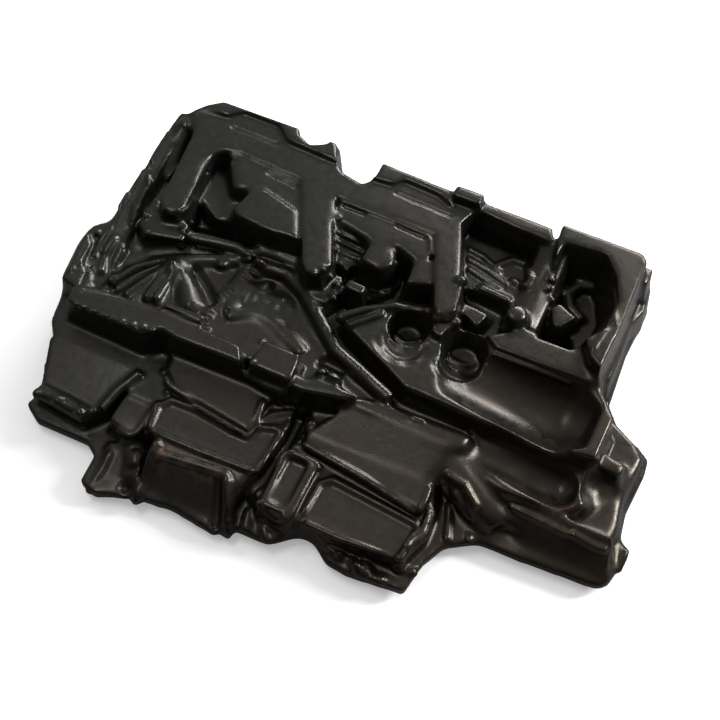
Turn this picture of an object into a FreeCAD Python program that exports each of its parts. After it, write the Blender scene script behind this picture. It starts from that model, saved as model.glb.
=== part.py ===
# One-piece moulded foam engine cover, lying on its plain outer face with the engine side up.
# Frame: +X along the long side, +Y to the back edge, +Z up; millimetres and degrees.
import FreeCAD, Part
import Sketcher
import os

Vector = FreeCAD.Vector
doc = FreeCAD.newDocument("engine_cover")
sheet = doc.addObject("Spreadsheet::Sheet", "dims")

# Heights of the moulded levels above the surface that the cover lies on.
LEVELS = {
    "belly_level": 0, "rim_low_level": 9, "tray_level": 22, "core_level": 16,
    "valley_level": 57, "window_level": 64, "mid_shelf_level": 68, "pad_level": 84,
    "left_lobe_level": 78, "gully_level": 76, "bar_foot_level": 82, "knob_level": 90, "ridge_level": 90,
    "deck_left_level": 44, "upper_left_level": 55, "deck_mid_level": 52, "upper_mid_level": 60,
    "deck_right_level": 42, "upper_right_level": 54, "front_pad_level": 50, "mid_lip_level": 72,
    "mid_channel_level": 36,
    "right_body_level": 86, "right_shelf_level": 92, "right_front_level": 58, "right_low_level": 36,
    "flange_level": 56, "tab_level": 88, "plateau_level": 108, "rim_level": 113,
    "shelf_one_level": 105, "shelf_two_level": 105, "pocket_one_level": 85, "boss_level": 104,
    "lump_level": 95, "front_bar_level": 84, "centre_level": 96, "centre_step_level": 76,
    "bracket_level": 94, "strip_level": 78, "frame_level": 55, "frame_floor": 50,
    "block_right_level": 60, "back_block_level": 119, "small_boss_level": 92, "peg_level": 88,
    "bowl_floor": 60, "scoop_floor": 62, "slot_floor": 58, "foot_ring_level": 68,
}
# Draft of the moulded walls, ends of the troughs and form of the bars.
FORM = {
    "wall_draft": 7, "edge_draft": 4, "bowl_draft": 14,
    "belly_draft": -60, "boss_draft": 5, "scoop_draft": 14,
    "trough_taper": 0.6, "bend_reach": 0.35, "bar_sides": 8,
}

# Outlines of the levels: top level, draft and the corners of the top, anticlockwise or clockwise.
EDGE = [
    (-258, 218), (-286, 198), (-298, 160), (-296, 60), (-310, 36), (-318, -10), (-314, -62),
    (-290, -92), (-292, -112), (-277, -140), (-283, -160), (-264, -172), (-206, -172), (-192, -182),
    (-190, -212), (-172, -218), (-138, -206), (-98, -200), (-48, -206), (-34, -194), (4, -195),
    (28, -174), (42, -174), (62, -189), (84, -190), (140, -184), (145, -150), (157, -126),
    (184, -110), (240, -108), (300, -104), (310, -96), (318, -54), (306, -50), (301, -20),
    (304, 26), (302, 42), (288, 52), (268, 58), (247, 84), (243, 150), (246, 208), (238, 218),
]
BELLY = [
    (-250, 196), (-276, 150), (-286, 0), (-260, -120), (-160, -186), (60, -160), (120, -150),
    (170, -96), (280, -82), (280, 20), (220, 80), (216, 196),
]
LOWER_SLABS = {
    "valley_floor": ("valley_level", "wall_draft", [
        (-284, 190), (-296, 40), (-303, -20), (-298, -52), (132, -44), (132, 190)]),
    "mid_shelf": ("mid_shelf_level", "wall_draft", [
        (-296, 46), (-304, -44), (-80, -44), (50, -40), (62, -30), (12, -6), (-16, 2),
        (-46, 26), (-74, 50), (-100, 64), (-150, 70), (-208, 54), (-262, 72)]),
    "left_lobe": ("left_lobe_level", "edge_draft", [
        (-298, 40), (-309, 28), (-311, 4), (-304, -44), (-280, -48), (-284, -14), (-290, 12)]),
    "right_body": ("right_body_level", "wall_draft", [
        (62, 62), (124, 70), (230, 78), (240, 56), (258, 34), (257, -14), (146, -21), (66, -18),
        (39, -4), (-11, 20), (-22, 29), (3, 54), (30, 70)]),
    "right_front": ("right_front_level", "wall_draft", [
        (60, -20), (262, -10), (282, 12), (286, -10), (262, -52), (244, -62), (186, -68),
        (136, -48), (26, -52)]),
    "right_low": ("right_low_level", "wall_draft", [
        (240, 70), (286, 44), (297, 34), (294, -18), (300, -52), (288, -76), (240, -84),
        (180, -88), (120, -70), (130, -30)]),
    "upper_ridge": ("ridge_level", "wall_draft", [
        (-280, -47), (-184, -40), (-97, -46), (-88, -62), (-160, -63), (-176, -60), (-192, -73),
        (-277, -70)]),
    "deck_left": ("deck_left_level", "wall_draft", [
        (-306, -46), (-298, -78), (-284, -96), (-284, -110), (-272, -136), (-270, -154), (-214, -160),
        (-200, -142), (-186, -100), (-180, -50)]),
    "upper_left": ("upper_left_level", "wall_draft", [
        (-304, -48), (-296, -80), (-284, -95), (-187, -95), (-182, -60)]),
    "deck_mid": ("deck_mid_level", "wall_draft", [
        (-190, -60), (-30, -62), (-26, -98), (-32, -146), (-150, -148), (-152, -122), (-184, -121),
        (-189, -98)]),
    "mid_channel": ("mid_channel_level", "wall_draft", [
        (-36, -66), (-8, -66), (-8, -176), (-38, -156)]),
    "upper_mid": ("upper_mid_level", "wall_draft", [
        (-168, -56), (-50, -62), (-57, -112), (-155, -98)]),
    "deck_right": ("deck_right_level", "wall_draft", [
        (-16, -60), (122, -66), (136, -110), (138, -134), (127, -166), (50, -170), (-14, -174)]),
    "upper_right": ("upper_right_level", "wall_draft", [
        (-14, -52), (128, -62), (126, -117), (-2, -99)]),
    "mid_lip": ("mid_lip_level", "wall_draft", [
        (24, -42), (62, -33), (142, -32), (150, -43), (130, -54), (88, -50), (30, -50)]),
    "front_pad": ("front_pad_level", "wall_draft", [
        (-186, -121), (-154, -119), (-154, -155), (-162, -162), (-187, -152)]),
    "front_bar": ("front_bar_level", "wall_draft", [
        (-40, -50), (-3, -39), (26, -44), (20, -52), (-24, -62), (-38, -60)]),
    "flange": ("flange_level", "edge_draft", [
        (230, 210), (242, 210), (244, 184), (238, 160), (240, 116), (240, 88), (228, 84)]),
    "tab": ("tab_level", "edge_draft", [(226, 212), (238, 211), (238, 192), (226, 190)]),
}
UPPER_SLABS = {
    "window_floor": ("window_level", "wall_draft", [
        (-276, 180), (-270, 70), (-186, 84), (-96, 74), (-48, 74), (60, 74), (140, 78), (140, 190)]),
    "gully_floor": ("gully_level", "wall_draft", [(-280, 182), (-256, 166), (-246, 66), (-272, 64)]),
    "plateau": ("plateau_level", "edge_draft", [
        (-276, 182), (-262, 200), (-246, 209), (-60, 205), (131, 203), (137, 186), (102, 187),
        (53, 192), (44, 168), (27, 146), (-84, 148), (-126, 153), (-200, 158), (-216, 153),
        (-228, 140), (-258, 160)]),
    "left_bar": ("plateau_level", "wall_draft", [
        (-259, 164), (-226, 142), (-219, 72), (-223, 60), (-237, 57), (-246, 67)]),
    "mid_bar": ("plateau_level", "wall_draft", [
        (-128, 156), (-86, 150), (-73, 115), (-53, 70), (-57, 53), (-71, 49), (-80, 58)]),
    "right_bar": ("plateau_level", "wall_draft", [
        (25, 149), (45, 171), (68, 113), (77, 94), (81, 68), (63, 56)]),
    "rim_strip_left": ("rim_level", "edge_draft", [
        (-274, 184), (-262, 199), (-247, 209), (-150, 209), (-112, 207), (-101, 186), (-160, 190),
        (-178, 206), (-220, 207), (-233, 194), (-261, 193)]),
    "rim_strip_mid": ("rim_level", "edge_draft", [
        (-62, 204), (21, 200), (29, 183), (12, 191), (-28, 194), (-38, 183), (-60, 182)]),
    "shelf_one": ("shelf_one_level", "wall_draft", [
        (-212, 156), (-124, 152), (-96, 84), (-130, 79), (-167, 83), (-176, 92), (-168, 121),
        (-186, 114), (-205, 142)]),
    "pocket_one_floor": ("pocket_one_level", "wall_draft", [
        (-226, 144), (-204, 144), (-176, 112), (-172, 88), (-192, 84), (-222, 98)]),
    "block_one": ("plateau_level", "wall_draft", [
        (-175, 92), (-167, 120), (-158, 125), (-113, 113), (-98, 82), (-130, 79), (-167, 83)]),
    "shelf_two": ("shelf_two_level", "wall_draft", [
        (-80, 152), (28, 150), (35, 124), (17, 110), (-10, 121), (-28, 112), (-74, 123)]),
    "pad_two": ("pad_level", "wall_draft", [(-66, 94), (-60, 104), (-35, 103), (-42, 82)]),
    "block_two": ("boss_level", "wall_draft", [
        (20, 103), (19, 114), (26, 119), (37, 115), (48, 91), (23, 82)]),
    "d_boss": ("boss_level", "wall_draft", [
        (-30, 89), (-31, 106), (-24, 117), (-9, 118), (1, 108), (2, 95), (-9, 85)]),
    "bar_foot": ("bar_foot_level", "wall_draft", [
        (-92, 70), (-44, 76), (-36, 60), (-46, 38), (-62, 40), (-86, 56)]),
    "corner_plate": ("rim_level", "edge_draft", [
        (139, 208), (224, 207), (231, 200), (232, 110), (230, 64), (217, 72), (207, 88), (182, 136),
        (152, 152), (144, 176)]),
    "right_shelf": ("right_shelf_level", "wall_draft", [
        (116, 66), (150, 90), (214, 92), (230, 76), (234, 58), (130, 56)]),
    "pad_three": ("pad_level", "wall_draft", [(75, 89), (78, 97), (108, 95), (102, 76)]),
    "lump": ("lump_level", "wall_draft", [
        (59, 59), (66, 67), (86, 69), (86, 56), (82, 42), (67, 45)]),
    "knob_pad": ("knob_level", "wall_draft", [(-262, 64), (-212, 64), (-207, 42), (-247, 33), (-263, 46)]),
}
LATE_SLABS = {
    "block_three": ("pad_level", "wall_draft", [
        (161, 128), (166, 137), (187, 127), (176, 109), (169, 109)]),
}
# Straight blocks: x, y, length, width, turn about the vertical, top level.
BLOCKS = {
    "back_block": (40, 198, 30, 14, 0, "back_block_level"),
    "small_boss": (-24, 64, 20, 11, -5, "small_boss_level"),
    "strip_two": (-57, 122, 54, 6, -11, "strip_level"),
    "strip_three": (91, 119, 60, 6, -5, "strip_level"),
    "strip_back": (72, 163, 40, 8, -19, "strip_level"),
    "bracket": (-164, -36, 44, 8, 0, "bracket_level"),
    "centre_block": (-57, -48, 40, 30, -1, "centre_level"),
    "centre_step": (-62, -62, 42, 9, -8, "centre_step_level"),
    "frame_block": (1, -143, 34, 64, 0, "frame_level"),
    "block_right": (272, 1, 26, 16, -4, "block_right_level"),
}
# Round bosses: x, y, radius at the top, top level.
BOSSES = {
    "foot_ring": (-12, 96, 20, "foot_ring_level"),
    "round_boss": (135, 96, 11, "boss_level"),
    "peg_one": (-16, -35, 4, "peg_level"),
    "peg_two": (-1, -33, 4, "peg_level"),
}
# Raised hoses and ridges: radius and the points of the middle line.
TUBES = {
    "long_tube": (8, [(-130, 57, 72), (-98, 60, 72), (-71, 46, 72), (-13, -2, 72), (34, -21, 72),
                      (54, -29, 72)]),
    "short_tube": (7, [(-145, 62, 75), (-133, 74, 75), (-91, 75, 75), (-75, 58, 75)]),
    "upper_hose": (7, [(-224, 56, 79), (-205, 57, 77), (-182, 62, 76), (-158, 66, 76), (-140, 62, 75)]),
    "trough_lip": (8, [(-254, -22, 66), (-242, 2, 68), (-217, 24, 69), (-188, 40, 69), (-152, 55, 69)]),
    "arch_ridge": (6, [(-24, 27, 82), (3, 52, 82), (28, 69, 82), (48, 73, 82), (64, 66, 82)]),
    "lower_ridge": (4, [(-14, 20, 84), (11, 46, 84)]),
    "shoulder": (8, [(-130, -7, 66), (-106, 10, 66), (-84, 4, 66), (-46, -15, 66)]),
    "small_bar": (5, [(-129, 36, 70), (-134, -4, 70)]),
    "ribbed_tube": (9, [(-142, 66, 65), (-138, 46, 65), (-141, 22, 65), (-149, 2, 65), (-150, -20, 65)]),
    "fan_rib_one": (5, [(-215, 20, 67), (-227, -32, 68)]),
    "fan_rib_two": (5, [(-207, 24, 67), (-214, -26, 69)]),
    "fan_rib_three": (5, [(-199, 28, 67), (-202, -27, 70)]),
    "fan_wing": (5, [(-192, 30, 67), (-178, 8, 67), (-158, -18, 66)]),
    "hook_hose": (7, [(194, 182, 66), (176, 178, 66), (167, 162, 66), (176, 146, 66), (190, 138, 66)]),
    "pipe_end": (13, [(56, 148, 64), (124, 150, 64)]),
    "saddle": (21, [(140, 192, 84), (141, 150, 71), (141, 106, 65)]),
    "front_bead": (9, [(-266, -151, 42), (-240, -153, 42), (-214, -156, 42)]),
    "curve_ridge": (5, [(-200, -144, 47), (-195, -122, 50), (-184, -98, 54)]),
    "end_ridge": (5, [(120, -90, 46), (136, -110, 44), (138, -132, 42), (126, -166, 40)]),
    "flow_ridge": (21, [(104, -52, 48), (142, -62, 42), (166, -73, 33), (188, -80, 24)]),
}
# Concave hose beds, cut like the tubes above.
BEDS = {
    "left_bed": (12, [(-272, -30, 74), (-262, 0, 74), (-239, 27, 74), (-206, 45, 74), (-166, 60, 74)]),
    "left_slot": (7, [(-297, 18, 78), (-289, -14, 78), (-272, -22, 78)]),
}
# Half-round troughs along X: first and last x of the straight part, y, both heights of the axis, radius.
TROUGHS = {
    "trough_one": (104, 222, 17, 114, 90, 39),
    "trough_two": (156, 240, -42, 78, 62, 22),
    "trough_three": (270, 340, -26, 66, 64, 27),
}
# Round scoops: x, y, radius at the floor.
SCOOPS = {"scoop_one": (42, 46, 15), "scoop_two": (102, 44, 17)}
# Pockets, cut with the outline at their floor; notches go right through the back edge.
POCKETS = {
    "bowl": ("bowl_floor", "bowl_draft", [
        (160, 176), (186, 178), (198, 164), (208, 140), (206, 112), (192, 92), (166, 92), (156, 112)]),
    "scallop": ("belly_level", "edge_draft", [
        (-156, 230), (-147, 208), (-137, 203), (-128, 208), (-124, 230)]),
    "notch": ("belly_level", "edge_draft", [
        (-105, 230), (-96, 192), (-88, 186), (-70, 182), (-65, 188), (-66, 230)]),
}
# Sloping decks: y, left x, right x and height of the front edge, then of the back edge.
RAMPS = {
    "left_ramp": ((-141, -272, -200, 45), (-97, -287, -190, 55)),
    "flap": ((-213, -176, -138, 17), (-164, -184, -148, 32)),
    "skirt": ((-201, -128, -44, 18), (-159, -138, -37, 49)),
    "skirt_top": ((-160, -139, -36, 48), (-138, -137, -34, 51)),
    "right_slope": ((-102, 222, 308, 18), (-64, 196, 301, 53)),
    "lip_slope": ((-88, -5, 125, 54), (-49, 22, 132, 71)),
    "left_rim": ((6, -297, -266, 72), (186, -288, -273, 105)),
}
CUT_BLOCKS = {
    "long_slot": (100, -28, 84, 7, 2, "slot_floor"),
    "frame_recess": (1, -143, 20, 50, 0, "frame_floor"),
}


def fill_sheet():
    """Write every driving number into the sheet under its own name."""
    cells = {**LEVELS, **FORM}
    for name, points in OUTLINES.items():
        for i, (x, y) in enumerate(points, 1):
            cells[f"{name}_x{i}"] = x
            cells[f"{name}_y{i}"] = y
    for name, (x, y, length, width, turn, level) in {**BLOCKS, **CUT_BLOCKS}.items():
        cells.update({f"{name}_x": x, f"{name}_y": y, f"{name}_length": length,
                      f"{name}_width": width, f"{name}_turn": turn})
    for name, (x, y, radius, level) in BOSSES.items():
        cells.update({f"{name}_x": x, f"{name}_y": y, f"{name}_radius": radius})
    for name, (x, y, radius) in SCOOPS.items():
        cells.update({f"{name}_x": x, f"{name}_y": y, f"{name}_radius": radius})
    for name, (first, last, y, first_z, last_z, radius) in TROUGHS.items():
        cells.update({f"{name}_first": first, f"{name}_last": last, f"{name}_y": y,
                      f"{name}_first_z": first_z, f"{name}_last_z": last_z, f"{name}_radius": radius})
    for name, edges in RAMPS.items():
        for end, (y, left, right, z) in zip(("front", "back"), edges):
            cells.update({f"{name}_{end}_y": y, f"{name}_{end}_left": left,
                          f"{name}_{end}_right": right, f"{name}_{end}_z": z})
    for name, (radius, points) in {**TUBES, **BEDS}.items():
        cells[f"{name}_radius"] = radius
        for i, (x, y, z) in enumerate(points, 1):
            cells.update({f"{name}_x{i}": x, f"{name}_y{i}": y, f"{name}_z{i}": z})
    for number, (alias, value) in enumerate(cells.items(), 1):
        sheet.set(f"A{number}", str(value))
        sheet.setAlias(f"A{number}", alias)
    doc.recompute()


def bind(target, **expressions):
    """Tie properties of an object to the sheet; two underscores stand for a dot."""
    for prop, expression in expressions.items():
        target.setExpression(prop.replace("__", "."), expression)


def outline(name):
    """Closed sketch whose corners are tied to the sheet."""
    corners = [Vector(x, y, 0) for x, y in OUTLINES[name]]
    count = len(corners)
    sketch = doc.addObject("Sketcher::SketchObject", f"{name}_outline")
    ties = []
    for i, corner in enumerate(corners):
        sketch.addGeometry(Part.LineSegment(corner, corners[(i + 1) % count]))
    for i in range(count):
        ties.append(Sketcher.Constraint("Coincident", i, 2, (i + 1) % count, 1))
    for i, corner in enumerate(corners):
        ties.append(Sketcher.Constraint("DistanceX", -1, 1, i, 1, corner.x))
        ties.append(Sketcher.Constraint("DistanceY", -1, 1, i, 1, corner.y))
    sketch.addConstraint(ties)
    for i in range(count):
        sketch.setExpression(f"Constraints[{count + 2 * i}]", f"dims.{name}_x{i + 1}")
        sketch.setExpression(f"Constraints[{count + 2 * i + 1}]", f"dims.{name}_y{i + 1}")
    return sketch


def drafted(name, level, length, draft, down):
    """Body padded from a named outline that stands at a level; its walls lean out from the outline."""
    body = doc.addObject("PartDesign::Body", name)
    sketch = outline(name)
    body.addObject(sketch)
    bind(body, Placement__Base__z=f"dims.{level}")
    pad = body.newObject("PartDesign::Pad", f"{name}_pad")
    pad.Profile = sketch
    pad.Reversed = down
    bind(pad, Length=length)
    if draft:
        doc.recompute()
        ups = {f"Face{i}": face.normalAt(0, 0).z for i, face in enumerate(pad.Shape.Faces, 1)}
        outline_up = 1 if down else -1
        lean = body.newObject("PartDesign::Draft", f"{name}_draft")
        lean.Base = (pad, [face for face, up in ups.items() if abs(up) < 0.5])
        lean.NeutralPlane = (pad, [face for face, up in ups.items() if up * outline_up > 0.5])
        lean.Reversed = not down
        bind(lean, Angle=f"dims.{draft}")
    return body


def slab(name, top, draft, foot="core_level"):
    """Raised level: the outline is at the top and the walls spread down to the foot."""
    return drafted(name, top, f"dims.{top} - dims.{foot}", draft, down=True)


def pocket(name, floor, draft):
    """Cutting shape: the outline is at the floor and the walls open upwards past the top."""
    return drafted(name, floor, "dims.back_block_level", draft, down=False)


def ramp(name):
    """Sloping deck between a front edge and a back edge, each with its own ends and height."""
    solid = doc.addObject("Part::Wedge", name)
    bind(solid, Ymin=f"dims.{name}_front_y", Ymax=f"dims.{name}_back_y",
         Xmin=f"dims.{name}_front_left", Xmax=f"dims.{name}_front_right",
         X2min=f"dims.{name}_back_left", X2max=f"dims.{name}_back_right",
         Zmin="dims.core_level", Zmax=f"dims.{name}_front_z",
         Z2min="dims.core_level", Z2max=f"dims.{name}_back_z")
    return solid


def block(name, level, cut=False):
    """Drafted straight block; a cutting one stands on its floor and reaches past the top."""
    solid = doc.addObject("Part::Wedge", name)
    foot, top = ("core_level", level) if not cut else (level, "back_block_level")
    height = f"(dims.{top} - dims.{foot})"
    spread = f"{height} * tan(dims.boss_draft * 1 deg)"
    foot_spread, top_spread = (spread, "0") if not cut else ("0", spread)
    half_length, half_width = f"dims.{name}_length / 2", f"dims.{name}_width / 2"
    bind(solid, Ymin="0", Ymax=height,
         Xmin=f"-({half_length} + {foot_spread})", Xmax=f"{half_length} + {foot_spread}",
         Zmin=f"-({half_width} + {foot_spread})", Zmax=f"{half_width} + {foot_spread}",
         X2min=f"-({half_length} + {top_spread})", X2max=f"{half_length} + {top_spread}",
         Z2min=f"-({half_width} + {top_spread})", Z2max=f"{half_width} + {top_spread}")
    bind(solid, Placement=f"placement(vector(dims.{name}_x; dims.{name}_y; dims.{foot}); "
                          f"rotation(dims.{name}_turn; 0; 90))")
    return solid


def boss(name, level):
    """Drafted round boss."""
    solid = doc.addObject("Part::Cone", name)
    height = f"(dims.{level} - dims.core_level)"
    bind(solid, Radius1=f"dims.{name}_radius + {height} * tan(dims.boss_draft * 1 deg)",
         Radius2=f"dims.{name}_radius", Height=height, Placement__Base__x=f"dims.{name}_x",
         Placement__Base__y=f"dims.{name}_y", Placement__Base__z="dims.core_level")
    return solid


def scoop(name):
    """Round recess that opens upwards."""
    solid = doc.addObject("Part::Cone", name)
    height = "(dims.back_block_level - dims.scoop_floor)"
    bind(solid, Radius1=f"dims.{name}_radius", Height=height,
         Radius2=f"dims.{name}_radius + {height} * tan(dims.scoop_draft * 1 deg)",
         Placement__Base__x=f"dims.{name}_x", Placement__Base__y=f"dims.{name}_y",
         Placement__Base__z="dims.scoop_floor")
    return solid


def trough(name):
    """Half-round trough along X that falls from its first to its last end and narrows at both."""
    run, fall = f"(dims.{name}_last - dims.{name}_first)", f"(dims.{name}_first_z - dims.{name}_last_z)"
    pitch = f"atan2({fall}; {run})"
    taper = f"(dims.{name}_radius * dims.trough_taper)"
    middle = doc.addObject("Part::Cylinder", f"{name}_middle")
    bind(middle, Radius=f"dims.{name}_radius", Height=f"sqrt({run}^2 + {fall}^2)",
         Placement=f"placement(vector(dims.{name}_first; dims.{name}_y; dims.{name}_first_z); "
                   f"rotation(0; 90 deg + {pitch}; 0))")
    parts = [middle]
    for end, turn in (("first", -90), ("last", 90)):
        tip = doc.addObject("Part::Cone", f"{name}_{end}_tip")
        bind(tip, Radius1=f"dims.{name}_radius", Radius2=taper, Height=taper,
             Placement=f"placement(vector(dims.{name}_{end}; dims.{name}_y; dims.{name}_{end}_z); "
                       f"rotation(0; {turn} deg + {pitch}; 0))")
        parts.append(tip)
    return fuse(name, parts)


def tube(name, count):
    """Many-sided bar along a chain of points; each run reaches past its ends to close the bends."""
    reach = f"(dims.{name}_radius * dims.bend_reach)"
    parts = []
    for i in range(1, count):
        steps = [f"(dims.{name}_{axis}{i + 1} - dims.{name}_{axis}{i})" for axis in "xyz"]
        length = f"sqrt({' + '.join(f'{step}^2' for step in steps)})"
        start = "; ".join(f"dims.{name}_{axis}{i} - {step} * {reach} / {length}"
                          for axis, step in zip("xyz", steps))
        bar = doc.addObject("Part::Prism", f"{name}_bar{i}")
        bind(bar, Polygon="dims.bar_sides", Circumradius=f"dims.{name}_radius",
             Height=f"{length} + 2 * {reach}",
             Placement=f"placement(vector({start}); "
                       f"rotation(atan2({steps[1]}; {steps[0]}); acos({steps[2]} / {length}); 0))")
        parts.append(bar)
    return fuse(name, parts) if len(parts) > 1 else parts[0]


def fuse(name, shapes):
    solid = doc.addObject("Part::MultiFuse", name)
    solid.Shapes = shapes
    solid.Refine = False
    return solid


def cut(name, base, tool):
    solid = doc.addObject("Part::Cut", name)
    solid.Base = base
    solid.Tool = tool
    solid.Refine = False
    return solid


OUTLINES = {"edge": EDGE, "belly": BELLY}
for table in (LOWER_SLABS, UPPER_SLABS, LATE_SLABS, POCKETS):
    OUTLINES.update({name: points for name, (level, draft, points) in table.items()})
fill_sheet()

tray = [slab("edge", "tray_level", None, "rim_low_level"),
        slab("belly", "rim_low_level", "belly_draft", "belly_level")]
lower = [slab(name, top, draft) for name, (top, draft, points) in LOWER_SLABS.items()]
lower += [ramp(name) for name in RAMPS]
upper = [slab(name, top, draft) for name, (top, draft, points) in UPPER_SLABS.items()]
levels = fuse("levels", [fuse("lower_levels", tray + lower), fuse("upper_levels", upper)])

hollows = [pocket(name, floor, draft) for name, (floor, draft, points) in POCKETS.items()]
hollows += [scoop(name) for name in SCOOPS]
hollows += [trough(name) for name in TROUGHS]
hollows += [tube(name, len(points)) for name, (radius, points) in BEDS.items()]
hollows.append(block("long_slot", "slot_floor", cut=True))
hollowed = cut("hollowed", levels, fuse("hollows", hollows))

relief = [block(name, level) for name, (x, y, length, width, turn, level) in BLOCKS.items()]
relief += [boss(name, level) for name, (x, y, radius, level) in BOSSES.items()]
relief += [slab(name, top, draft) for name, (top, draft, points) in LATE_SLABS.items()]
relief += [tube(name, len(points)) for name, (radius, points) in TUBES.items()]
raised = fuse("raised", [hollowed] + relief)
cover = cut("engine_cover", raised, block("frame_recess", "frame_floor", cut=True))
cover.Label = "engine_cover"
doc.recompute()

for item in doc.Objects:
    if "Invalid" in item.State or "Error" in item.State:
        raise RuntimeError(f"{item.Name} did not build: {item.State}")
if cover.Shape.isNull() or not cover.Shape.isValid() or len(cover.Shape.Solids) != 1:
    raise RuntimeError("the cover is not one valid solid")
os.makedirs("parts", exist_ok=True)
cover.Shape.exportStep("parts/engine_cover.step")
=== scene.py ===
"""Looks of a moulded foam engine cover: a rounded skin over the CAD solid, its folds, and the studio."""
import math

import bmesh
import bpy
import numpy as np
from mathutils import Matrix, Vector
from mathutils.bvhtree import BVHTree


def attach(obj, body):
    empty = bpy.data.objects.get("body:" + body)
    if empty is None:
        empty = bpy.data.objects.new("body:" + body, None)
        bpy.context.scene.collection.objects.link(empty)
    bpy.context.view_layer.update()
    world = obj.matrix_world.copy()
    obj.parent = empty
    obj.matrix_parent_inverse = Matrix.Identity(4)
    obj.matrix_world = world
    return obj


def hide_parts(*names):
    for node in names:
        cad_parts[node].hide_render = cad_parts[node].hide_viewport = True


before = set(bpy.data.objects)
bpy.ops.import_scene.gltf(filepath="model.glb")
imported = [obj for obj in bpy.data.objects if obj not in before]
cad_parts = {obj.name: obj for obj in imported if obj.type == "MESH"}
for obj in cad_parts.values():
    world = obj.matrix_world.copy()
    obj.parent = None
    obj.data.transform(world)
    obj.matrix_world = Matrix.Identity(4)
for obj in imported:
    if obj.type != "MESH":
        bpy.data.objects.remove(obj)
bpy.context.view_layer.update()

MM = 0.001

# Skin: gap that is welded, grid of the remesh, rounding of its edges, and the triangles that are kept.
WELD = 0.01 * MM
VOXEL = 1.9 * MM
ROUNDING_STEPS = 8
SOFT_STEPS = 42
BLENDING_STEPS = 1
ROUNDING_FACTOR = 0.5
SOFT_FALL = 1.6
BEND_RADIUS = 8 * MM
BEND_STEPS = 3
SKIN_TRIANGLES = 195_000
TINY_AREA = 1e-12

# Camera that fits the photograph: angles in degrees, distances in metres, image 720 by 720 pixels.
AZIMUTH, ELEVATION = 25.0, 58.0
CAMERA_DISTANCE = 1.4
CAMERA_TARGET = Vector((-0.010, 0.014, 0.050))
LENS, SENSOR = 70.0, 36.0
IMAGE = 720
TARGET_PIXEL = (347, 352)

# Enlarged pieces of the photograph in which the details were read: the pixel at their upper left
# corner, and their enlargement.
CROPS = {
    "whole": ((0, 0), 1),
    "upper_left": ((60, 90), 4),
    "upper_right": ((290, 150), 4),
    "right": ((380, 300), 3.561),
    "lower_left": ((20, 320), 3.561),
    "lower_middle": ((180, 330), 3.561),
}
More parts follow.
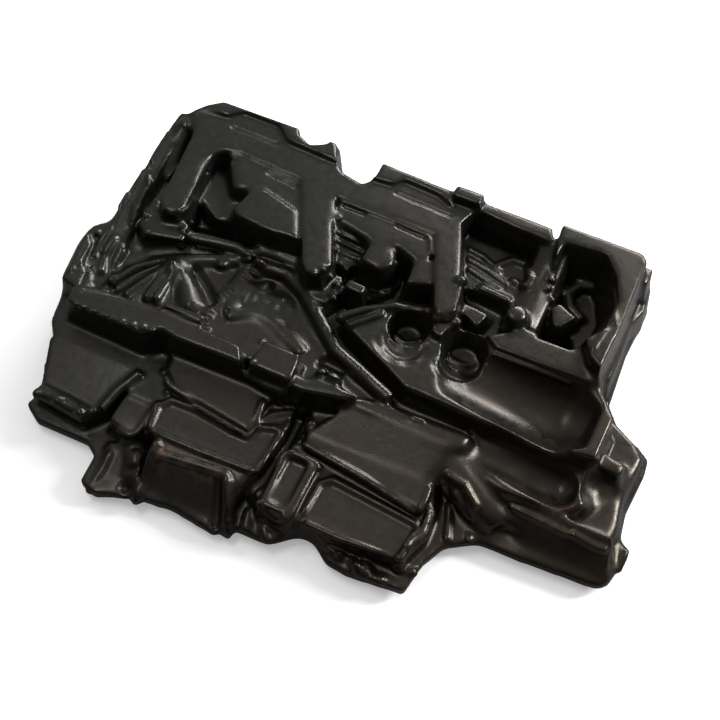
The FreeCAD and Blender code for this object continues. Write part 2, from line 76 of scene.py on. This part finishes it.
# Folds, beads and grooves: crop, half width and height in millimetres, then lines of the crop's pixels.
LINES = {
    "window_ribs": ("whole", 4.5, 4, [
        [(469, 250), (484, 258), (499, 273)], [(468, 260), (487, 271), (506, 285)],
        [(469, 270), (484, 280), (499, 289)]]),
    "window_loop": ("whole", 6, 5, [[(499, 266), (513, 261), (527, 266), (532, 279), (527, 287), (513, 282)]]),
    "window_pipe": ("whole", 8, 7, [[(460, 281), (482, 290), (508, 302)]]),
    "back_pad_line": ("upper_left", 3, -2, [[(690, 145), (780, 180), (870, 215)]]),
    "shelf_one_grooves": ("upper_left", 3, -2.4, [[(835, 332), (950, 388)], [(640, 268), (700, 282)]]),
    "gully_bead": ("upper_left", 3.5, 2.5, [
        [(352, 345), (365, 400), (390, 455), (440, 495), (490, 488), (520, 455)]]),
    "left_rim_folds": ("upper_left", 5, 2.6, [
        [(428, 170), (385, 235), (352, 300)], [(330, 320), (285, 395), (240, 465)],
        [(360, 370), (325, 440), (300, 520)], [(270, 420), (225, 500), (205, 550)], [(300, 470), (290, 540)]]),
    "lobe_folds": ("upper_left", 5.5, 3.2, [
        [(108, 585), (70, 650), (45, 715)], [(150, 570), (110, 630), (80, 690)],
        [(196, 560), (160, 610), (140, 660)]]),
    "saddle_folds": ("upper_left", 8, 4, [
        [(215, 600), (180, 650), (165, 720)], [(250, 640), (225, 690), (200, 760)]]),
    "tent_folds": ("whole", 7, 5, [
        [(168, 264), (150, 278), (128, 295)], [(172, 264), (160, 280), (146, 297)],
        [(176, 264), (168, 282), (156, 298)]]),
    "tent_side": ("whole", 16, 8, [[(180, 272), (186, 290), (190, 306)]]),
    "tent_grooves": ("whole", 10, -6, [
        [(158, 263), (135, 274), (112, 289)], [(196, 272), (206, 288), (211, 300)]]),
    "spur_lines": ("upper_left", 2.2, 1.6, [
        [(530, 445), (590, 530)], [(550, 440), (606, 520)], [(570, 442), (622, 508)]]),
    "bar_end_lines": ("upper_left", 3, -2, [
        [(90, 802), (240, 832), (390, 872)], [(420, 876), (572, 926)]]),
    "back_pad_line_two": ("upper_right", 3, -2, [[(425, 172), (530, 215), (640, 262)]]),
    "shelf_two_grooves": ("upper_right", 3, -2.6, [[(215, 222), (300, 256)], [(430, 302), (540, 350)]]),
    "shelf_two_border": ("upper_right", 3, 2, [
        [(196, 275), (194, 220), (208, 205), (380, 270), (548, 342), (560, 360), (562, 410)]]),
    "boss_ring": ("upper_right", 4, 3, [[(425, 450), (442, 495), (428, 540), (385, 568), (330, 560)]]),
    "boss_cap": ("upper_right", 7, 3.5, [[(372, 582), (395, 580)]]),
    "arch_pipe": ("whole", 7, 6, [[(341, 318), (365, 311), (396, 307), (430, 312)]]),
    "arch_edge": ("whole", 5, 4, [[(350, 325), (382, 315)]]),
    "peg_hollow": ("whole", 8, -6, [[(302, 361), (325, 361), (341, 370)]]),
    "peg_drum": ("whole", 9, 7, [[(322, 373), (334, 378)]]),
    "shelf_lip": ("upper_right", 4, 2.4, [[(815, 815), (960, 870), (1120, 932)]]),
    "scoop_dishes": ("whole", 15, -5, [
        [(386, 343), (393, 351), (406, 355), (418, 350)], [(443, 364), (450, 371), (463, 375), (475, 370)]]),
    "scoop_collars": ("whole", 5, 1.4, [
        [(380, 336), (385, 351), (397, 360), (415, 360), (424, 352)],
        [(437, 360), (441, 372), (452, 380), (467, 382), (479, 377), (484, 366)]]),
    "scoop_rings": ("whole", 3.2, 2.6, [
        [(393, 327), (396, 337), (404, 343), (414, 343), (424, 336)],
        [(448, 353), (453, 361), (463, 365), (473, 364), (481, 356)]]),
    "flange_folds": ("upper_right", 4, 2, [
        [(1296, 560), (1306, 620), (1300, 690)], [(1262, 720), (1215, 790), (1200, 860)]]),
    "slot_step": ("right", 6, 3, [[(118, 420), (150, 428)], [(330, 470), (335, 492)]]),
    "end_folds": ("right", 6, 3.5, [
        [(222, 650), (248, 740), (238, 850)], [(268, 690), (310, 770), (318, 860)],
        [(245, 625), (300, 660), (340, 730)]]),
    "end_ridge_two": ("right", 5, 3, [[(172, 760), (150, 820), (95, 880)]]),
    "corner_folds": ("right", 6, 3.5, [
        [(470, 735), (560, 780), (660, 830)], [(690, 835), (760, 875), (800, 890)], [(880, 895), (850, 960)]]),
    "pad_border": ("lower_left", 5, 3.2, [[(488, 300), (455, 352), (418, 402), (388, 412), (352, 392)]]),
    "panel_one_border": ("lower_left", 5.5, 4, [
        [(520, 200), (535, 235), (640, 308), (790, 398), (828, 382), (862, 298)]]),
    "panel_two_border": ("lower_left", 5.5, 4, [
        [(462, 380), (495, 310), (540, 286), (640, 326), (760, 396), (808, 416), (850, 384), (912, 388),
         (930, 408), (890, 470), (845, 535)]]),
    "panel_two_front": ("lower_left", 4.5, 2.6, [[(468, 396), (640, 468), (832, 542)]]),
    "skirt_folds": ("lower_left", 9, 7, [
        [(488, 445), (450, 540), (415, 638)], [(736, 575), (742, 680), (738, 758)]]),
    "rim_folds": ("lower_left", 8, 3.5, [[(815, 690), (803, 740)], [(872, 745), (880, 785)]]),
    "skirt_grooves": ("lower_left", 8, -5, [[(705, 575), (700, 660), (692, 740)], [(400, 540), (370, 600)]]),
    "skirt_edge": ("lower_left", 6, 3, [[(505, 480), (600, 508), (735, 548)]]),
    "flap_join": ("whole", 15, 9, [[(138, 450), (137, 462), (135, 476)]]),
    "gully_fill": ("whole", 13, 9, [[(186, 128), (178, 150), (168, 176)]]),
    "flap_edge": ("lower_left", 6, 3, [[(318, 478), (285, 545), (245, 608)]]),
    "frame_ridges": ("lower_middle", 4.6, 3.2, [
        [(400, 432), (488, 482), (388, 672), (352, 682), (270, 620), (278, 588), (372, 442), (400, 432)]]),
    "panel_four_border": ("lower_middle", 5.5, 4, [
        [(468, 332), (442, 385), (446, 412), (640, 520), (842, 650), (858, 640), (892, 565)]]),
    "panel_five_border": ("lower_middle", 5.5, 4, [
        [(410, 700), (445, 640), (498, 548), (545, 536), (690, 612), (838, 690), (848, 712), (785, 812)]]),
    "panel_five_front": ("lower_middle", 4.5, 2.8, [[(450, 690), (560, 742), (770, 812)]]),
    "front_rim_folds": ("lower_middle", 7, 4, [
        [(500, 735), (530, 775), (565, 800)], [(610, 820), (640, 860)], [(660, 830), (680, 880)],
        [(775, 850), (830, 862)]]),
    "centre_edges": ("lower_middle", 4.5, 3, [[(258, 122), (292, 42)], [(424, 86), (386, 174)]]),
    "centre_lip": ("lower_middle", 5, 3, [[(235, 160), (300, 195), (372, 218)]]),
    "slope_ridges": ("lower_middle", 6, 3, [[(272, 332), (330, 302), (442, 288)], [(372, 352), (430, 300)]]),
}
# Knobs, lumps and pits: crop, reach and height in millimetres, then the crop's pixels.
DOTS = {
    "knob_dots": ("upper_left", 5, 4.5, [(345, 505), (345, 572), (490, 568), (485, 625), (525, 530)]),
    "valley_lumps": ("whole", 9, 5.5, [(260, 262), (255, 275), (268, 287), (222, 265)]),
    "valley_mound": ("whole", 20, 6, [(258, 296), (280, 305)]),
    "small_dots": ("upper_left", 2.4, 1.6, [
        (697, 222), (1045, 250), (630, 515), (690, 480), (935, 590), (795, 690), (790, 745)]),
    "pits": ("upper_left", 4, -3.5, [(590, 330), (355, 292), (125, 715), (668, 880)]),
    "edge_beads": ("upper_left", 5, 3, [
        (60, 862), (88, 872), (124, 886), (164, 900), (205, 914), (246, 926), (290, 938), (332, 948),
        (368, 962)]),
    "foot_knobs": ("upper_right", 6, 6, [(95, 492), (132, 478), (158, 505), (190, 545), (172, 592)]),
    "bowl_knobs": ("upper_right", 5.5, 4.5, [(1045, 520), (1030, 555), (1045, 600)]),
    "lump_knobs": ("upper_right", 8, 4, [(578, 680), (625, 672), (668, 690)]),
    "bead_knobs": ("lower_left", 8, 4, [(52, 262), (132, 286), (212, 328)]),
    "deck_knobs": ("lower_left", 6.5, 4.5, [(515, 190), (526, 260)]),
    "frame_knobs": ("lower_middle", 5, 3.4, [(276, 610), (370, 666), (485, 490), (424, 402)]),
    "front_rim_knobs": ("lower_middle", 8, 5, [(572, 806), (712, 890), (630, 845)]),
}

# Colours of the skin: back flats, lower front, dull film, rubbed patches, painted shade for the grooves, and
# tints of its sheen.
GREEN_BLACK = (0.0050, 0.0060, 0.0046)
BROWN_BLACK = (0.0085, 0.0058, 0.0040)
DUST = (0.012, 0.011, 0.0095)
RUBBED = (0.085, 0.044, 0.028)
GROOVE_SHADE = (0.002, 0.002, 0.002)
GREEN_SHEEN = (0.93, 0.90, 0.83)
BROWN_SHEEN = (1.00, 0.85, 0.70)
SHEEN = 0.42
# Warmer tone: its start, and its rise per metre to the right and to the front.
WARM_START, WARM_RIGHT, WARM_FRONT = 0.35, 1.6, 1.4
# Patterns of the skin: scale and detail.
PATCHES, MOTTLE, GRAIN, WAVES = (16, 4), (120, 5), (1100, 2), (60, 2)
# Least and greatest roughness over the patches, then what the mottle, sharp edges and rubbing add.
ROUGHNESS = (0.25, 0.34)
MOTTLE_ROUGHNESS = (-0.04, 0.05)
EDGE_ROUGHNESS, RUBBED_ROUGHNESS = -0.07, 0.2
# Bumps of the skin: depth and strength.
GRAIN_BUMP, WAVE_BUMP = (0.4 * MM, 0.3), (1.2 * MM, 0.25)

# Floor: width, gap under the part, its tones in the part's reflections and to the camera, and its glow there.
FLOOR_WIDTH, FLOOR_GAP = 12, 0.0005
FLOOR_DARK, FLOOR_LIGHT = (0.25, 0.25, 0.25, 1), (0.95, 0.95, 0.95, 1)
FLOOR_ROUGHNESS = 0.9
FLOOR_GLOW = 0.3
# Light: direction of the room's bright side, how far round its dark side starts, its least and greatest
# strength, then lamps with places, sizes and power.
BRIGHT_SIDE = (-0.11, 0.55, 0.83)
DARK_SIDE = -0.2
ROOM = (0.02, 0.62)
LAMPS = [
    ("back", (0.3, 1.6, 1.0), (1.5, 0.25), 36),
    ("right", (1.4, 0.8, 1.0), (0.35, 0.6), 30),
    ("top", (-0.5, -0.2, 1.9), (0.9, 0.15), 7),
]

# Ribbed hose: half width, height and pitch of its ribs, and its crest, in millimetres.
RIBS = (11, 1.8, 5, [(-142, 66, 74), (-138, 46, 74), (-141, 22, 74), (-149, 2, 74), (-150, -20, 74)])
# Where the skin flows and its forms are rounder: reach and a line of points in millimetres.
SOFT = [
    (70, [(110, -55, 45), (190, -85, 25)]), (60, [(240, -85, 40), (290, -60, 40)]),
    (45, [(-285, 0, 85), (-282, 190, 100)]), (45, [(-300, -25, 70), (-270, 10, 80)]),
    (45, [(-150, -165, 30), (-40, -170, 30), (40, -195, 25)]), (45, [(-220, 0, 75), (-170, 10, 75)]),
    (30, [(112, 118, 85), (126, 112, 85)]), (35, [(300, -20, 50), (300, 20, 55)]),
    (32, [(131, 165, 119), (151, 84, 119)]), (35, [(-125, 25, 70), (-70, 5, 70)]),
    (14, [(-85, 137, 119), (-53, 69, 119)]), (14, [(37, 163, 119), (76, 104, 119)]),
    (14, [(-226, 135, 119), (-215, 68, 119)]), (28, [(-217, 129, 98), (-176, 104, 98)]),
    (28, [(-61, 119, 88), (4, 99, 88)]), (42, [(114, 11, 72), (179, -3, 72)]),
    (26, [(-22, -37, 86), (8, -33, 86)]), (38, [(232, 56, 62), (222, 0, 62)]),
    (34, [(-153, -174, 38), (-141, -195, 15)]),
]
# Ledges in the two windows: corners of their tops, and the height of their feet, in millimetres.
LEDGES = [
    [(-76, 121, 100), (-32, 126, 92), (-31, 94, 80), (-63, 91, 86)],
    [(45, 181, 79), (128, 177, 79), (137, 125, 79), (72, 116, 79)],
]
LEDGE_FOOT = 50
# Ribs on the first ledge: half width, height and lines of points in millimetres.
LEDGE_RIBS = (4, 3, [
    [(-68, 113, 97), (-32, 117, 89)], [(-65, 106, 94), (-33, 108, 86)], [(-61, 97, 91), (-32, 100, 83)]])
# Rubbed patches: place and reach in millimetres, and strength.
RUBS = [
    ((-122, -162, 47), 16, 0.9), ((-98, -160, 48), 18, 0.8), ((-66, -158, 48), 16, 0.9),
    ((74, 60, 98), 13, 0.5), ((-165, -150, 50), 9, 0.4), ((240, -70, 50), 30, 0.35),
    ((60, -172, 30), 22, 0.3), ((150, -80, 40), 40, 0.3),
]


def eye_back():
    """Direction from the target back to the camera."""
    azimuth, elevation = math.radians(AZIMUTH), math.radians(ELEVATION)
    return Vector((math.sin(azimuth) * math.cos(elevation),
                   -math.cos(azimuth) * math.cos(elevation), math.sin(elevation)))


def on_surface(tree, crop, point):
    """Place on the solid, in millimetres, that the photograph shows at a crop's pixel."""
    corner, enlargement = CROPS[crop]
    right, down = [c + p / enlargement - t for c, p, t in zip(corner, point, TARGET_PIXEL)]
    back = eye_back()
    ray = back.to_track_quat("Z", "Y") @ Vector((right, -down, -IMAGE * LENS / SENSOR))
    return tree.ray_cast(CAMERA_TARGET + back * CAMERA_DISTANCE, ray.normalized())[0] / MM


def find_details(piece):
    """Half width, height and line on the solid of each fold, bead, groove, knob, lump and pit."""
    tree = BVHTree.FromObject(piece, bpy.context.evaluated_depsgraph_get())
    reach, height, ribs = LEDGE_RIBS
    found = [(reach, height, rib) for rib in ribs]
    for crop, reach, height, lines in LINES.values():
        found += [(reach, height, [on_surface(tree, crop, point) for point in line]) for line in lines]
    for crop, reach, height, dots in DOTS.values():
        found += [(reach, height, [on_surface(tree, crop, dot)]) for dot in dots]
    return found


def from_cad(node):
    """New object with the welded mesh of a CAD node, and the ledges that stand in its windows."""
    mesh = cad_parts[node].data.copy()
    mesh.materials.clear()
    work = bmesh.new()
    work.from_mesh(mesh)
    bmesh.ops.remove_doubles(work, verts=work.verts, dist=WELD)
    for top in LEDGES:
        corners = top + [(x, y, LEDGE_FOOT) for x, y, _ in top]
        bmesh.ops.convex_hull(work, input=[work.verts.new(Vector(corner) * MM) for corner in corners])
    work.to_mesh(mesh)
    work.free()
    piece = bpy.data.objects.new("cover_skin", mesh)
    bpy.context.scene.collection.objects.link(piece)
    return piece


def apply_modifiers(piece):
    """Swap the mesh of a piece for its modified one."""
    shape = piece.evaluated_get(bpy.context.evaluated_depsgraph_get())
    mesh = bpy.data.meshes.new_from_object(shape)
    piece.modifiers.clear()
    piece.data = mesh


def smooth(piece, steps):
    rounding = piece.modifiers.new("rounding", "SMOOTH")
    rounding.factor = ROUNDING_FACTOR
    rounding.iterations = steps


def round_over(piece):
    """Even grid over the solid, with its edges rounded as foam fills a mould."""
    grid = piece.modifiers.new("grid", "REMESH")
    grid.mode = "VOXEL"
    grid.voxel_size = VOXEL
    smooth(piece, ROUNDING_STEPS)
    apply_modifiers(piece)


def read_skin(mesh):
    """Places and normals of a mesh's corners."""
    places, normals = np.empty(len(mesh.vertices) * 3), np.empty(len(mesh.vertices) * 3)
    mesh.vertices.foreach_get("co", places)
    mesh.vertices.foreach_get("normal", normals)
    return places.reshape(-1, 3), normals.reshape(-1, 3)


def along(places, line):
    """Distance of each place from a line of points, and how far along the line its nearest point is."""
    best = np.linalg.norm(places - line[0], axis=1)
    run = np.zeros(len(places))
    start = 0.0
    for a, b in zip(line[:-1], line[1:]):
        step = b - a
        length = np.linalg.norm(step)
        share = np.clip((places - a) @ step / length**2, 0, 1)
        distance = np.linalg.norm(places - a - share[:, None] * step, axis=1)
        nearer = distance < best
        best[nearer] = distance[nearer]
        run[nearer] = start + share[nearer] * length
        start += length
    return best, run


def edge_ends(mesh):
    ends = np.empty(len(mesh.edges) * 2, int)
    mesh.edges.foreach_get("vertices", ends)
    return ends.reshape(-1, 2).T


def spread(ends, at_first, at_second, count):
    """Mean at each corner of the values that its edges bring to their first and second ends."""
    total = np.bincount(ends[0], at_first, count) + np.bincount(ends[1], at_second, count)
    return total / np.bincount(ends.ravel(), minlength=count)


def soften(piece):
    """Rounder forms where the skin flows."""
    places, _ = read_skin(piece.data)
    weight = np.zeros(len(places))
    for reach, line in SOFT:
        distance, _ = along(places, np.array(line, float) * MM)
        weight = np.maximum(weight, np.clip(SOFT_FALL * (1 - distance / (reach * MM)), 0, 1))
    ends = edge_ends(piece.data)
    first, second = ends
    for _ in range(SOFT_STEPS):
        for axis in range(3):
            value = places[:, axis]
            mean = spread(ends, value[second], value[first], len(value))
            value += weight * ROUNDING_FACTOR * (mean - value)
    piece.data.vertices.foreach_set("co", places.ravel())
    piece.data.update()


def emboss(rest, places, normals, reach, height, line, pitch=None):
    """Raise or sink the skin along a line, round in section; a pitch breaks the line into ribs."""
    line = np.array(line, float) * MM
    reach *= MM
    near = np.all((rest > line.min(0) - reach) & (rest < line.max(0) + reach), axis=1)
    distance, run = along(rest[near], line)
    bulge = np.clip(1 - (distance / reach)**2, 0, None)**2 * height * MM
    if pitch:
        bulge *= np.cos(2 * math.pi * run / (pitch * MM))
    places[near] += normals[near] * bulge[:, None]


def mould_details(piece, details):
    """Folds, beads, grooves, knobs and ribs of the moulded skin, placed on its form before it is softened."""
    rest, _ = read_skin(piece.data)
    soften(piece)
    places, normals = read_skin(piece.data)
    for reach, height, line in details:
        emboss(rest, places, normals, reach, height, line)
    reach, height, pitch, crest = RIBS
    emboss(rest, places, normals, reach, height, crest, pitch)
    piece.data.vertices.foreach_set("co", places.ravel())
    piece.data.update()
    smooth(piece, BLENDING_STEPS)
    apply_modifiers(piece)


def turns(mesh):
    """Ends of a mesh's edges, and the skin's turn along each: above 0 on outer bends, below 0 in grooves."""
    places, normals = read_skin(mesh)
    ends = edge_ends(mesh)
    gap = places[ends[1]] - places[ends[0]]
    lean = np.sum((normals[ends[1]] - normals[ends[0]]) * gap, axis=1)
    return ends, lean / np.maximum(np.sum(gap * gap, axis=1), TINY_AREA) * BEND_RADIUS


def even_out(ends, turn, steps):
    """Turns of the edges brought to the corners and spread over their neighbours."""
    count = ends.max() + 1
    value = spread(ends, turn, turn, count)
    for _ in range(steps):
        value = (value + spread(ends, value[ends[1]], value[ends[0]], count)) / 2
    return value


def thin_out(piece):
    """Fewer triangles, shaded with the normals of the full skin."""
    piece.data.polygons.foreach_set("use_smooth", np.ones(len(piece.data.polygons), bool))
    full = piece.copy()
    bpy.context.scene.collection.objects.link(full)
    thin = piece.modifiers.new("thin", "DECIMATE")
    thin.ratio = min(1.0, SKIN_TRIANGLES / sum(len(face.vertices) - 2 for face in piece.data.polygons))
    normals = piece.modifiers.new("normals", "DATA_TRANSFER")
    normals.object = full
    normals.use_loop_data = True
    normals.data_types_loops = {"CUSTOM_NORMAL"}
    normals.loop_mapping = "POLYINTERP_NEAREST"
    apply_modifiers(piece)
    bpy.data.objects.remove(full)


def add_attribute(mesh, name, values):
    mesh.attributes.new(name, "FLOAT", "POINT").data.foreach_set("value", values.astype(np.float32))


def mark_skin(mesh):
    """Attributes that the material reads: bends, rubbed patches and the warmer tone of the lower front."""
    places, _ = read_skin(mesh)
    add_attribute(mesh, "bend", np.clip(even_out(*turns(mesh), BEND_STEPS), -1, 1))
    rub = np.zeros(len(places))
    for place, reach, strength in RUBS:
        distance = np.linalg.norm(places - np.array(place) * MM, axis=1)
        rub = np.maximum(rub, strength * np.clip(1 - distance / (reach * MM), 0, 1))
    add_attribute(mesh, "rub", rub)
    x, y = places[:, 0], places[:, 1]
    add_attribute(mesh, "warm", np.clip(WARM_START + WARM_RIGHT * x - WARM_FRONT * y, 0, 1))


def foam_material():
    """Black moulded skin: satin and grained, greener at the back, browner in front, with rubbed patches and
    painted shade in its grooves.
    """
    material = bpy.data.materials.new("foam_skin")
    material.use_nodes = True
    tree = material.node_tree
    shader = tree.nodes["Principled BSDF"]

    def link(source, target):
        tree.links.new(source, target)

    def noise(scale, detail):
        node = tree.nodes.new("ShaderNodeTexNoise")
        node.inputs["Scale"].default_value = scale
        node.inputs["Detail"].default_value = detail
        link(place.outputs["Object"], node.inputs["Vector"])
        return node.outputs["Fac"]

    def attribute(name):
        node = tree.nodes.new("ShaderNodeAttribute")
        node.attribute_name = name
        return node.outputs["Fac"]

    def remap(value, low, high, to_low, to_high):
        node = tree.nodes.new("ShaderNodeMapRange")
        link(value, node.inputs["Value"])
        for socket, number in zip(("From Min", "From Max", "To Min", "To Max"), (low, high, to_low, to_high)):
            node.inputs[socket].default_value = number
        return node.outputs["Result"]

    def math_node(operation, first, second):
        node = tree.nodes.new("ShaderNodeMath")
        node.operation = operation
        for socket, value in zip(node.inputs, (first, second)):
            if isinstance(value, (int, float)):
                socket.default_value = value
            else:
                link(value, socket)
        return node.outputs["Value"]

    def mix(factor, first, second):
        node = tree.nodes.new("ShaderNodeMix")
        node.data_type = "RGBA"
        link(factor, node.inputs["Factor"])
        for name, colour in (("A", first), ("B", second)):
            socket = [s for s in node.inputs if s.name == name and s.type == "RGBA"][0]
            if isinstance(colour, tuple):
                socket.default_value = (*colour, 1)
            else:
                link(colour, socket)
        return [s for s in node.outputs if s.type == "RGBA"][0]

    def bump(height, distance, strength, below=None):
        node = tree.nodes.new("ShaderNodeBump")
        node.inputs["Distance"].default_value = distance
        node.inputs["Strength"].default_value = strength
        link(height, node.inputs["Height"])
        if below:
            link(below, node.inputs["Normal"])
        return node.outputs["Normal"]

    place = tree.nodes.new("ShaderNodeTexCoord")
    patches, mottle, grain, waves = [noise(*pattern) for pattern in (PATCHES, MOTTLE, GRAIN, WAVES)]
    edges = attribute("bend")

    warm = math_node("ADD", attribute("warm"), remap(patches, 0.3, 0.7, -0.35, 0.35))
    colour = mix(warm, GREEN_BLACK, BROWN_BLACK)
    colour = mix(remap(mottle, 0.45, 0.75, 0, 0.5), colour, DUST)
    rub = math_node("MULTIPLY", attribute("rub"), remap(mottle, 0.35, 0.6, 0, 1))
    colour = mix(rub, colour, RUBBED)
    # Painted shade: the base colour darkens towards near black where the skin bends inward into grooves.
    colour = mix(remap(edges, -0.1, -0.8, 0, 0.8), colour, GROOVE_SHADE)
    link(colour, shader.inputs["Base Color"])
    link(mix(warm, GREEN_SHEEN, BROWN_SHEEN), shader.inputs["Specular Tint"])
    shader.inputs["Specular IOR Level"].default_value = SHEEN

    rough = remap(patches, 0.3, 0.7, *ROUGHNESS)
    rough = math_node("ADD", rough, remap(mottle, 0.3, 0.7, *MOTTLE_ROUGHNESS))
    rough = math_node("ADD", rough, remap(edges, 0.1, 0.8, 0, EDGE_ROUGHNESS))
    rough = math_node("ADD", rough, math_node("MULTIPLY", rub, RUBBED_ROUGHNESS))
    link(rough, shader.inputs["Roughness"])
    link(bump(grain, *GRAIN_BUMP, bump(waves, *WAVE_BUMP)), shader.inputs["Normal"])
    return material


def floor_material():
    """White to the camera and darker in the part's reflections, which keeps the front walls black."""
    material = bpy.data.materials.new("floor_white")
    material.use_nodes = True
    tree = material.node_tree
    shader = tree.nodes["Principled BSDF"]
    shader.inputs["Roughness"].default_value = FLOOR_ROUGHNESS
    path = tree.nodes.new("ShaderNodeLightPath")
    mix = tree.nodes.new("ShaderNodeMix")
    mix.data_type = "RGBA"
    tree.links.new(path.outputs["Is Camera Ray"], mix.inputs["Factor"])
    tones = [s for s in mix.inputs if s.type == "RGBA"]
    tones[0].default_value = FLOOR_DARK
    tones[1].default_value = FLOOR_LIGHT
    tree.links.new([s for s in mix.outputs if s.type == "RGBA"][0], shader.inputs["Base Color"])
    shader.inputs["Emission Color"].default_value = (1, 1, 1, 1)
    glow = tree.nodes.new("ShaderNodeMath")
    glow.operation = "MULTIPLY"
    glow.inputs[1].default_value = FLOOR_GLOW
    tree.links.new(path.outputs["Is Camera Ray"], glow.inputs[0])
    tree.links.new(glow.outputs["Value"], shader.inputs["Emission Strength"])
    return material


def floor():
    """Pale floor under the part."""
    bpy.ops.mesh.primitive_plane_add(size=FLOOR_WIDTH, location=(0, 0, -FLOOR_GAP))
    plane = bpy.context.object
    plane.name = "floor"
    plane.data.materials.append(floor_material())


def area_light(name, location, size, power):
    """Soft rectangular lamp that points at the part."""
    data = bpy.data.lights.new(name, "AREA")
    data.shape = "RECTANGLE"
    data.size, data.size_y = size
    data.energy = power
    lamp = bpy.data.objects.new(name, data)
    lamp.location = location
    lamp.rotation_euler = (CAMERA_TARGET - lamp.location).to_track_quat("-Z", "Y").to_euler()
    bpy.context.scene.collection.objects.link(lamp)


def studio():
    """Bright room, with lamps above, behind and to the right that draw the edges."""
    scene = bpy.context.scene
    scene.view_settings.view_transform = "Standard"
    world = bpy.data.worlds.new("room")
    scene.world = world
    world.use_nodes = True
    tree = world.node_tree
    background = tree.nodes["Background"]
    background.inputs["Color"].default_value = (1, 1, 1, 1)
    direction = tree.nodes.new("ShaderNodeTexCoord")
    facing = tree.nodes.new("ShaderNodeVectorMath")
    facing.operation = "DOT_PRODUCT"
    facing.inputs[1].default_value = BRIGHT_SIDE
    strength = tree.nodes.new("ShaderNodeMapRange")
    strength.inputs["From Min"].default_value = DARK_SIDE
    strength.inputs["To Min"].default_value, strength.inputs["To Max"].default_value = ROOM
    tree.links.new(direction.outputs["Generated"], facing.inputs[0])
    tree.links.new(facing.outputs["Value"], strength.inputs["Value"])
    tree.links.new(strength.outputs["Result"], background.inputs["Strength"])
    for name, location, size, power in LAMPS:
        area_light(name, location, size, power)


def camera():
    """Camera at the photograph's angle; the shift puts the target on its pixel."""
    back = eye_back()
    data = bpy.data.cameras.new("camera")
    data.lens, data.sensor_width = LENS, SENSOR
    data.shift_x = (IMAGE / 2 - TARGET_PIXEL[0]) / IMAGE
    data.shift_y = (TARGET_PIXEL[1] - IMAGE / 2) / IMAGE
    eye = bpy.data.objects.new("camera", data)
    eye.location = CAMERA_TARGET + back * CAMERA_DISTANCE
    eye.rotation_euler = (-back).to_track_quat("-Z", "Y").to_euler()
    bpy.context.scene.collection.objects.link(eye)
    bpy.context.scene.camera = eye


cover = from_cad("engine_cover")
details = find_details(cover)
round_over(cover)
mould_details(cover, details)
mark_skin(cover.data)
thin_out(cover)
cover.data.materials.append(foam_material())
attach(cover, "root")
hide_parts("engine_cover")

floor()
studio()
camera()
